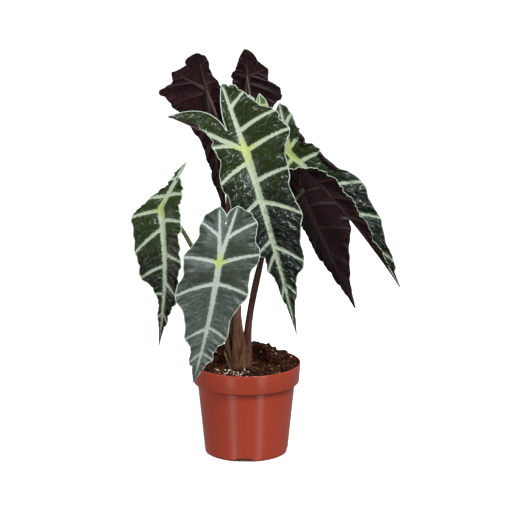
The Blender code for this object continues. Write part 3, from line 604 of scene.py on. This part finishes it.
def addLeaf(name, leaf):
    rowStep, columns = (bladeShape["rowStep"], bladeShape["columns"]) if leaf["length"] > 100 else (0.8, 24)
    bm = bmesh.new()
    layers = {key: bm.verts.layers.float.new(key) for key in (*distances, "thickness")}
    flatMap, rowsMap = (bm.loops.layers.uv.new(key) for key in ("flat", "rows"))
    flatPlace, rowsPlace = {}, {}
    reach = [leaf["sinus"] * lobe for lobe in leaf["lobes"]]
    ahead = np.linspace(0, leaf["length"], int(leaf["length"] / rowStep))
    shares = np.linspace(0, 1, max(8, int(max(reach) / rowStep)))
    for side in (0, 1):
        lobe = leaf["lobes"][side]
        behind = np.linspace(-lobe, -reach[side], max(6, int((lobe - reach[side]) / rowStep)))
        rows = np.concatenate([behind[:-1], -shares[::-1] * reach[side], ahead[1:]])
        ribs = ribLines(leaf, side)
        ribPoints = np.concatenate([points for points, _ in ribs])
        ribHalf = np.concatenate([half for _, half in ribs])
        for outer in (True, False):
            samples = rows if outer else rows[rows <= 1e-9]
            across = np.linspace(0, 1, columns if outer else 22)
            t, v = (a.ravel() for a in np.meshgrid(samples, across, indexing="ij"))
            if outer:
                flat, swell, toMargin, apart, w = outerStrip(leaf, side, t, v)
            else:
                flat, toMargin, apart = sinusStrip(leaf, side, t, v)
                swell, w = np.zeros(len(t)), np.zeros(len(t))
            swell = swell * min(1, leaf["quilt"] + 0.1)
            ribDistance = np.empty(len(flat))
            for k in range(0, len(flat), 2000):
                gap = np.linalg.norm(flat[k:k + 2000, None, :] - ribPoints[None], axis=-1) - ribHalf[None]
                ribDistance[k:k + 2000] = gap.min(1)
            seed = side * 7.3 + leaf["length"]
            cells = np.array([voronoiGap(p, q, seed) for p, q in zip(apart / 13, t / 8)])
            soft = noiseAt(np.stack([flat[:, 0], flat[:, 1], t * 0], -1), 1 / 15, side * 3.1)
            quilt = 0.7 * smoothstep(0, 0.6, cells) + 0.8 * soft
            quilt *= smoothstep(0.5, 5, ribDistance) * smoothstep(0.5, 5, toMargin) * leaf["quilt"]
            quilt *= 0.45 + 0.55 * smoothstep(10, 70, np.hypot(flat[:, 0], flat[:, 1]) * (flat[:, 1] > 0))
            raised = smoothstep(0, 9, ribDistance) * smoothstep(0, 6, toMargin)
            lift = swell + quilt + 0.8 * min(1, leaf["quilt"]) * raised
            if outer:
                wave = np.sin(w * 4.2 * pi + side) + 0.6 * np.sin(w * 9.1 * pi + side * 2 + 1)
                lift += leaf["wave"] * smoothstep(15, 0, toMargin) * smoothstep(0, 5, ribDistance) * wave
                lift *= smoothstep(0, 18, leaf["length"] - t)
                flat, lift = curlMargin(leaf, side, flat, lift, toMargin, w)
            lift -= 0.5 * smoothstep(0.8, -1.4, ribDistance)
            points = shapeLeaf(leaf, side, flat, lift) * mm
            if outer:
                toMargin = toMargin + 0.7 * smoothstep(26, 4, leaf["length"] - t)
            ribDistance += 0.9 * smoothstep(24, 3, leaf["length"] - t) + 0.8 * smoothstep(10, 2, lobe + t)
            x = flat[:, 0] if side == 0 else -flat[:, 0]
            made = bmesh.ops.create_grid(bm, x_segments=len(across) - 1, y_segments=len(samples) - 1,
                                         size=1)["verts"]
            for vert in made:
                j = round((vert.co.x + 1) / 2 * (len(across) - 1))
                i = round((vert.co.y + 1) / 2 * (len(samples) - 1))
                k = i * len(across) + j
                vert[layers["ribDistance"]] = ribDistance[k]
                vert[layers["marginDistance"]] = toMargin[k]
                fromJoint = float(np.hypot(*flat[k]))
                vert[layers["jointDistance"]] = fromJoint
                inFront = float(smoothstep(-10, 10, flat[k, 1]))
                vert[layers["awayDistance"]] = fromJoint * (0.35 + 0.65 * inFront)
                vert[layers["thickness"]] = 0.6 + 0.4 * float(smoothstep(0.2, -1.6, ribDistance[k]))
                vert.co = points[k]
                flatPlace[vert] = (x[k] * mm, flat[k, 1] * mm)
                rowsPlace[vert] = (apart[k] * mm + 0.1 * side, t[k] * mm + 0.3)
            for face in {face for vert in made for face in vert.link_faces}:
                for loop in face.loops:
                    loop[flatMap].uv = flatPlace[loop.vert]
                    loop[rowsMap].uv = rowsPlace[loop.vert]
    bmesh.ops.remove_doubles(bm, verts=bm.verts, dist=0.00002)
    bmesh.ops.recalc_face_normals(bm, faces=bm.faces)
    middle = min(bm.faces, key=lambda f: (f.calc_center_median() - Vector(leaf["at"]) * mm).length)
    if middle.normal.dot(Vector(leaf["face"])) < 0:
        bmesh.ops.reverse_faces(bm, faces=bm.faces)
    shares = [vert[layers["thickness"]] for vert in bm.verts]
    piece = finishPiece("blade_" + name, bm, [upperSkins[leaf["look"]], underSkin, edgeSkin],
                        "maroon_leaf" if "back" in name else "green_leaf", ["leaf_" + name])
    group = piece.vertex_groups.new(name="thickness")
    for index, share in enumerate(shares):
        group.add([index], share, "REPLACE")
    solidify = piece.modifiers.new("Thickness", "SOLIDIFY")
    solidify.thickness = bladeShape["thickness"] * mm
    solidify.offset = -1
    solidify.vertex_group = "thickness"
    solidify.material_offset = 1
    solidify.material_offset_rim = 2


def smoothPath(points, steps):
    points = [Vector(p) for p in points]
    ends = [2 * points[0] - points[1]] + points + [2 * points[-1] - points[-2]]
    path = []
    for a, b, c, d in zip(ends, ends[1:], ends[2:], ends[3:]):
        path += [curveThrough(a, b, c, d, k / steps) for k in range(steps)]
    return path + [points[-1]]


def layMap(made, uv, places):
    for face in {face for vert in made for face in vert.link_faces}:
        for loop in face.loops:
            loop[uv].uv = places[loop.vert]


def addTube(bm, path, radii, steps, uv=None, start=0.0, flatten=None):
    # A closed tube along a path: a grid wrapped round it, its two ends drawn to a point.
    rings = len(path)
    made = bmesh.ops.create_grid(bm, x_segments=steps, y_segments=rings - 1, size=1)["verts"]
    frames = []
    side = Vector((0, -1, 0))
    for k, place in enumerate(path):
        ahead = (path[min(k + 1, rings - 1)] - path[max(k - 1, 0)]).normalized()
        side = (side - ahead * side.dot(ahead)).normalized()
        frames.append((place, side.copy(), ahead.cross(side)))
    places = {}
    for vert in made:
        i = round((vert.co.x + 1) / 2 * steps)
        k = round((vert.co.y + 1) / 2 * (rings - 1))
        turn = 2 * pi * i / steps
        place, one, two = frames[k]
        wide, deep = (1, 1) if flatten is None else flatten(k / (rings - 1))
        radius = radii[k]
        vert.co = place + one * (cos(turn) * radius * deep) + two * (sin(turn) * radius * wide)
        places[vert] = (i / steps * 0.012, start + k / (rings - 1) * 0.3)
    if uv:
        layMap(made, uv, places)


def addSleeve(bm, path, radii, outwards, uv, seed, height):
    # The clasping base of a stalk: a thin skin open towards the bundle's middle, drawn out to a point.
    rows, columns, wall = 36, 48, 0.0006
    lengths = np.concatenate([[0], np.cumsum([(b - a).length for a, b in zip(path, path[1:])])])
    made = bmesh.ops.create_grid(bm, x_segments=columns, y_segments=rows, size=1)["verts"]
    places = {}
    for vert in made:
        loop, k = (vert.co.x + 1) / 2, round((vert.co.y + 1) / 2 * rows)
        outer = loop < 0.5
        a = loop * 4 - 1 if outer else 3 - loop * 4           # out over the outer skin, back on the inner
        share = min(max((k - 1) / (rows - 2), 0), 1)
        at = lengths[1] + share * height * (1 - 0.1 * abs(a))
        i = min(int(np.searchsorted(lengths, at)), len(path) - 1)
        place = path[i - 1].lerp(path[i], float((at - lengths[i - 1]) / (lengths[i] - lengths[i - 1])))
        ahead = (path[i] - path[i - 1]).normalized()
        out = (outwards - ahead * outwards.dot(ahead)).normalized()
        across = ahead.cross(out)
        angle = a * radians(140) * (1 - 0.7 * share**1.5)
        radius = float(np.interp(at, lengths, radii)) * 1.03 + 0.0006 * (1 - share)
        radius += 0.0009 * abs(a) ** 4 * (1 - 0.6 * share)
        radius += wall * (1 - abs(a) ** 6) * (1 - 0.6 * share) if outer else 0
        if k in (0, rows):
            angle, radius = 0, radius - 0.0002
        vert.co = place + out * (cos(angle) * radius) + across * (sin(angle) * radius * 1.2)
        places[vert] = (a * 0.006, seed + share * 0.06)
    layMap(made, uv, places)


stalkShape = {"radii": (3.5, 3.3, 2.8, 1.8), "radiiAt": (0, 0.12, 0.6, 1), "foot": 0.0890, "soil": 0.0975,
              "clear": 0.106, "sleeve": 50}


def addStalk(name, leaf):
    x, y = (c * mm for c in leaf["foot"])
    face = Vector(leaf["face"]).normalized()
    joint = Vector(leaf["at"]) * mm - face * 0.0010
    above = [Vector(p) * mm for p in leaf["stalk"]] + [joint - face * 0.010, joint]
    below = [Vector((x, y, stalkShape[level])) for level in ("foot", "soil")]
    path = below + smoothPath([(x, y, stalkShape["clear"]), *above], 14)
    lengths = np.concatenate([[0], np.cumsum([(b - a).length for a, b in zip(path, path[1:])])])
    share = lengths / lengths[-1]
    radii = np.interp(share, stalkShape["radiiAt"], stalkShape["radii"]) * mm
    radii[0] = radii[-1] = 0.00002
    bm = bmesh.new()
    uv = bm.loops.layers.uv.new("along")

    def flatten(s):
        low = max(0, 1 - s / 0.3)
        return 1 + 0.35 * low, 1 - 0.12 * low

    seed = float(rng.random())
    addTube(bm, path, radii, 24, uv, seed, flatten)
    outwards = Vector((x + 0.007, y + 0.012, 0)).normalized()
    addSleeve(bm, path, radii, outwards, uv, seed, stalkShape["sleeve"] * mm)
    bmesh.ops.remove_doubles(bm, verts=bm.verts, dist=0.00003)
    bmesh.ops.recalc_face_normals(bm, faces=bm.faces)
    finishPiece("petiole_" + name, bm, stalkMaterials[leaf["stalkLook"]], "stalk_skin", ["stalk_" + name])


upperSkins = {key: leafUpper("leaf upper skin, waxy, " + key, look) for key, look in upperLooks.items()}
underSkin = leafUnder("leaf lower skin, satin maroon", underLook)
edgeSkin = leafEdge()
stalkMaterials = {}
for key, look in stalkLooks.items():
    stalkMaterials[key] = stalkSkin("stalk skin, smooth and striped, " + key, look)

for name, leaf in leaves.items():
    addLeaf(name, leaf)
    addStalk(name, leaf)
print("leaves and stalks")


# Soil

soilShape = {"radius": 0.0581, "level": 0.0982, "heap": 0.0135, "hollow": 0.0042, "hollowAt": (0.017, 0.001),
             "walls": ((0.0575, 0.0940), (0.0563, 0.0815), (0.0518, 0.0813), (0.0427, 0.0053)),
             "squares": 170}


def soilHeight(x, y):
    # Level with the rim in front, heaped up behind the stalks, with a hollow beside them.
    r = np.hypot(x, y) / 0.0585
    inside = np.clip(1 - r**8, 0, 1)
    back = smoothstep(0, 1, (y * 1000 - 2) / 20 + 3 * x)
    fall = smoothstep(16, 36, x * 1000)
    heap = soilShape["heap"] * inside * back * (1 - 0.5 * fall)
    heap += 0.0015 * inside * np.clip(0.5 + 20 * x, 0, 1)
    hollowX, hollowY = soilShape["hollowAt"]
    hollow = soilShape["hollow"] * np.exp(-((x - hollowX) ** 2 + (y - hollowY) ** 2) / 0.009**2)
    lumps = 0.0011 * np.sin(x * 260 + 1.3) * np.sin(y * 240 - 0.4)
    lumps += 0.0007 * np.sin(x * 430) * np.sin(y * 390 + 2)
    return soilShape["level"] + heap - hollow + lumps * np.clip(1.15 - r, 0, 1) * 2


def soilLump(x, y):
    place = Vector((x * 120, y * 120, 3))
    still = 1 - (np.hypot(x, y) / 0.0582) ** 8
    clods = max(0, noise.noise(place * 1.6)) * 0.0034 + max(0, noise.noise(place * 3.3)) * 0.0022
    return (noise.fractal(place, 0.9, 2.1, 5) * 0.0019 + clods) * still


bm = bmesh.new()
squares = soilShape["squares"]
for vert in bmesh.ops.create_grid(bm, x_segments=squares, y_segments=squares, size=1)["verts"]:
    a, b = vert.co.x, vert.co.y
    radius = soilShape["radius"] * max(abs(a), abs(b))        # square rings become round ones
    turn = np.arctan2(b, a)
    x, y = radius * cos(turn), radius * sin(turn)
    vert.co = (x, y, float(soilHeight(x, y)) - 0.0012 + soilLump(x, y))
for radius, height in soilShape["walls"]:                     # down the inside of the pot to its floor
    edges = [edge for edge in bm.edges if edge.is_boundary]
    made = bmesh.ops.extrude_edge_only(bm, edges=edges)["geom"]
    for vert in [item for item in made if isinstance(item, bmesh.types.BMVert)]:
        wide = radius / np.hypot(vert.co.x, vert.co.y)
        vert.co = (vert.co.x * wide, vert.co.y * wide, height)
bmesh.ops.contextual_create(bm, geom=[edge for edge in bm.edges if edge.is_boundary])
bmesh.ops.recalc_face_normals(bm, faces=bm.faces)
peat = earth("peat, damp and fibrous", "#120906", "#341C11", "#5C2C19", 900)
finishPiece("soil_top", bm, peat, "peat_soil", ["soil"])

crumbPeat = earth("peat crumb", "#170B07", "#452110", "#6A331C", 700)
clodPeat = earth("peat clod, damp", "#140906", "#3A1E12", "#522B19", 600)
crumbTan = earth("bark crumb", "#4A3222", "#8C6B4A", "#A88660", 500)
white = perliteGrain()


def scatter(name, count, sizes, spots, material, detail, flat=0.75):
    bm = bmesh.new()
    for x, y in spots[:count]:
        size = float(rng.uniform(*sizes)) * mm
        made = bmesh.ops.create_icosphere(bm, subdivisions=detail, radius=1)["verts"]
        turn = Matrix.Rotation(float(rng.uniform(0, 6.3)), 3, "Z")
        turn = turn @ Matrix.Rotation(float(rng.uniform(-0.7, 0.7)), 3, "X")
        shape = Vector((size * float(rng.uniform(0.8, 1.5)), size, size * flat))
        seed = Vector(rng.uniform(0, 100, 3))
        height = float(soilHeight(x, y)) - 0.0012 + soilLump(x, y) + size * 0.3
        for vert in made:
            rough = 1 + 0.55 * noise.noise(vert.co * 2.1 + seed)
            vert.co = turn @ Vector(vert.co[i] * shape[i] * rough for i in range(3))
            vert.co += Vector((x, y, height))
    finishPiece(name, bm, material, "peat_soil")


def discSpots(count, outer=0.0565):
    turns, radii = rng.uniform(0, 2 * pi, count), np.sqrt(rng.uniform(0, outer**2, count))
    return [(float(r * cos(a)), float(r * sin(a))) for a, r in zip(turns, radii)]


awayFromStalks = [p for p in discSpots(1500) if np.hypot(p[0] + 0.007, p[1] + 0.012) > 0.0125]
scatter("crumbs_fine", 700, (0.4, 1.2), awayFromStalks, crumbPeat, 1)
scatter("crumbs_coarse", 150, (1.2, 3.0), awayFromStalks[700:], clodPeat, 2)
front = [(float(rng.uniform(-0.052, 0.004)), float(rng.uniform(-0.056, -0.022))) for _ in range(230)]
front = [p for p in front if np.hypot(*p) < 0.0565]
scatter("crumbs_bark", 130, (0.35, 0.95), front[118:] + awayFromStalks[850:], crumbTan, 1)
scatter("perlite", 150, (0.3, 1.0), front[:118] + awayFromStalks[1000:1032], white, 1, 0.9)

bm = bmesh.new()
for x, y in awayFromStalks[1050:1130]:
    turn, length = float(rng.uniform(0, 6.3)), float(rng.uniform(3, 8)) * mm
    height = float(soilHeight(x, y)) + soilLump(x, y)
    path = []
    for share in (-0.5, -0.2, 0.1, 0.35, 0.5):
        arch = 0.0012 * sin(pi * (share + 0.5))
        path.append(Vector((x + cos(turn) * length * share, y + sin(turn) * length * share, height + arch)))
    if max(np.hypot(p.x, p.y) for p in path) < 0.057:
        addTube(bm, path, [0.00005, 0.0003, 0.00035, 0.0003, 0.00005], 6)
bmesh.ops.remove_doubles(bm, verts=bm.verts, dist=0.00002)
finishPiece("soil_fibres", bm, crumbTan, "peat_soil")
print("soil")


# Sheaths

sheathMaterial = drySheath()
sheaths = {
    "left": {"turn": 196, "spread": 34, "foot": 0.0965, "height": 0.022, "lean": 0.004},
    "front": {"turn": 292, "spread": 30, "foot": 0.0960, "height": 0.034, "lean": 0.003},
}


def addSheath(name, sheath):
    turn = sheath["turn"]
    bm = bmesh.new()
    made = bmesh.ops.create_grid(bm, x_segments=36, y_segments=48, size=1)["verts"]
    for vert in made:
        a, share = vert.co.x, (vert.co.y + 1) / 2
        half = sheath["spread"] * (1 - 0.75 * share**1.4)
        angle = radians(turn + a * half)
        torn = 0.06 * sin(a * 9 + turn) * share + 0.05 * sin(a * 23 + turn) * share
        radius = 0.0133 + sheath["lean"] * share**1.5 + 0.0003 * sin(a * 14 + turn)
        vert.co = (-0.007 + radius * cos(angle), -0.012 + radius * sin(angle),
                   sheath["foot"] + sheath["height"] * share * (1 - 0.1 * abs(a) + torn - 0.08))
    bmesh.ops.recalc_face_normals(bm, faces=bm.faces)
    piece = finishPiece("dry_sheath_" + name, bm, sheathMaterial, "dry_sheath", ["sheath_" + name])
    solidify = piece.modifiers.new("Thickness", "SOLIDIFY")
    solidify.thickness = 0.0005
    solidify.offset = 0


for name, sheath in sheaths.items():
    addSheath(name, sheath)
print("sheaths")


# Pot

potShape = {"band": 0.0795, "steps": 160, "notches": 4, "notchTurn": -93, "notchHeight": 0.0039,
            "notchWidth": 0.018}
band = potShape["band"]
profile = [                                               # half the pot's section, from the inside's middle
    (0.0, 0.0018), (0.0204, 0.0018), (0.0256, 0.0048), (0.0430, 0.0048), (0.0523, 0.0810), (0.0567, 0.0810),
    (0.0585, 0.1002), (0.05865, 0.1008), (0.05895, 0.1010), (0.0595, 0.1010), (0.0598, 0.10085),
    (0.05995, 0.1004), (0.05985, 0.0998), (0.0584, 0.0801), (0.0582, 0.0797), (0.0578, band),
    (0.0546, band), (0.0539, 0.0792), (0.05375, 0.0785), (0.0461, 0.0030), (0.0459, 0.0014),
    (0.0453, 0.0004), (0.0446, 0.0), (0.0422, 0.0), (0.0418, 0.0003), (0.0418, 0.0030), (0.0240, 0.0030),
    (0.0220, 0.0), (0.0, 0.0),
]
bm = bmesh.new()
points = [bm.verts.new((r, 0, z)) for r, z in profile]
line = [bm.edges.new(pair) for pair in zip(points, points[1:])]
bmesh.ops.spin(bm, geom=points + line, cent=(0, 0, 0), axis=(0, 0, 1), angle=2 * pi, steps=potShape["steps"],
               use_merge=True)
bmesh.ops.remove_doubles(bm, verts=bm.verts, dist=0.00001)
bmesh.ops.recalc_face_normals(bm, faces=bm.faces)
pot = finishPiece("nursery_pot", bm, potPlastic(), "terracotta_plastic", ["pot"])
pot.data.set_sharp_from_angle(angle=radians(50))
for k in range(potShape["notches"]):
    cutBm = bmesh.new()
    bmesh.ops.create_cube(cutBm, size=1)
    for vert in cutBm.verts:
        top = potShape["notchHeight"] - 0.005
        vert.co = (vert.co.x * 0.012 + 0.045, vert.co.y * potShape["notchWidth"], vert.co.z * 0.010 + top)
    turn = radians(potShape["notchTurn"] + 360 / potShape["notches"] * k)
    bmesh.ops.rotate(cutBm, verts=cutBm.verts, matrix=Matrix.Rotation(turn, 3, "Z"))
    cutter = addObject(f"notch_{k + 1}", cutBm)
    cutter.hide_render = True
    boolean = pot.modifiers.new("Notch", "BOOLEAN")
    boolean.operation, boolean.solver, boolean.object = "DIFFERENCE", "EXACT", cutter
print("pot")

# Carried over: the corm inside the soil.
cormSkin = earth("corm skin, dry and scaly", "#3A2A1C", "#7A5A3C", "#5A3A26", 300)
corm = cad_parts["corm"]
corm.data.materials.clear()
corm.data.materials.append(cormSkin)
print("corm")


# Studio

studio = {"surround": 0.28, "cameraAt": (0.0174, -2.1436, 0.7086), "cameraTilt": 77, "lens": 138.7}
lamps = {                                                     # the low strips show as soft bands on the pot
    "key_box": {"at": (-0.3, -0.42, 1.6), "aim": (0, 0, 0.25), "size": (0.3, 0.3), "power": 8.5},
    "side_box": {"at": (0.75, -0.55, 1.35), "aim": (0, 0, 0.25), "size": (0.2, 0.4), "power": 6.5,
                 "tint": (0.85, 0.93, 1)},
    "glint_box": {"at": (0.55, -1.2, 1.6), "aim": (0, 0, 0.28), "size": (0.26, 0.4), "power": 34,
                  "tint": (0.82, 0.92, 1)},
    "left_fill": {"at": (-1.8, -1.15, 0.8), "aim": (0, 0, 0.2), "size": (1.2, 1.2), "power": 16},
    "right_fill": {"at": (1.5, -1.4, 0.9), "aim": (0, 0, 0.15), "size": (0.45, 1.4), "power": 8},
    "left_strip": {"at": (-0.88, -1.3, -0.68), "aim": (0, 0, 0.05), "size": (0.34, 0.8), "power": 2.4},
    "right_strip": {"at": (0.94, -1.25, -0.68), "aim": (0, 0, 0.05), "size": (0.34, 0.8), "power": 2.4},
}

bm = bmesh.new()
bmesh.ops.create_cone(bm, cap_ends=True, segments=64, radius1=25, radius2=25, depth=30)
bmesh.ops.delete(bm, geom=[face for face in bm.faces if face.calc_center_median().z > 14],
                 context="FACES_ONLY")
bmesh.ops.translate(bm, verts=bm.verts, vec=(0, 0, 15))
bmesh.ops.reverse_faces(bm, faces=bm.faces)
sweep = addObject("sweep", bm)
paper, paperShader = newMaterial("paper sweep, matt white, lit from behind", Roughness=0.9,
                                 Specular_IOR_Level=0.0)
paperPlace = addNode(paper, "TexCoord", output="Object")
paperNoise = addNode(paper, "TexNoise", {"Vector": paperPlace, "Scale": 40, "Detail": 2})
paperMix = addNode(paper, "Mix", {"Factor": paperNoise, "A": "#C8C8C8", "B": "#CECECE"}, **asColour)
feed(paper, paperShader.inputs["Base Color"], paperMix)
paperShader.inputs["Emission Color"].default_value = (1, 1, 1, 1)
openness = addNode(paper, "AmbientOcclusion", {"Distance": 0.05}, samples=8, output="AO")
glow = addNode(paper, "MapRange", {"Value": openness, "From Min": 0.36, "From Max": 0.5, "To Max": 0.97})
feed(paper, paperShader.inputs["Emission Strength"], glow)
sweep.data.materials.append(paper)
sweep.visible_diffuse = sweep.visible_glossy = sweep.visible_shadow = False

for name, lamp in lamps.items():
    light = bpy.data.lights.new(name, "AREA")
    light.shape, light.energy, light.color = "RECTANGLE", lamp["power"], lamp.get("tint", (1, 1, 1))
    light.size, light.size_y = lamp["size"]
    holder = bpy.data.objects.new(name, light)
    bpy.context.scene.collection.objects.link(holder)
    holder.location = lamp["at"]
    holder.rotation_euler = (Vector(lamp["aim"]) - Vector(lamp["at"])).to_track_quat("-Z", "Y").to_euler()

world = bpy.data.worlds.new("surround")
world.use_nodes = True
world.node_tree.nodes["Background"].inputs["Color"].default_value = (1, 1, 1, 1)
world.node_tree.nodes["Background"].inputs["Strength"].default_value = studio["surround"]
bpy.context.scene.world = world
bpy.context.scene.view_settings.view_transform = "Standard"

camera = bpy.data.objects.new("camera", bpy.data.cameras.new("camera"))
bpy.context.scene.collection.objects.link(camera)
camera.location = studio["cameraAt"]
camera.rotation_euler = (radians(studio["cameraTilt"]), 0, 0)
camera.data.lens = studio["lens"]
bpy.context.scene.camera = camera
print("studio")
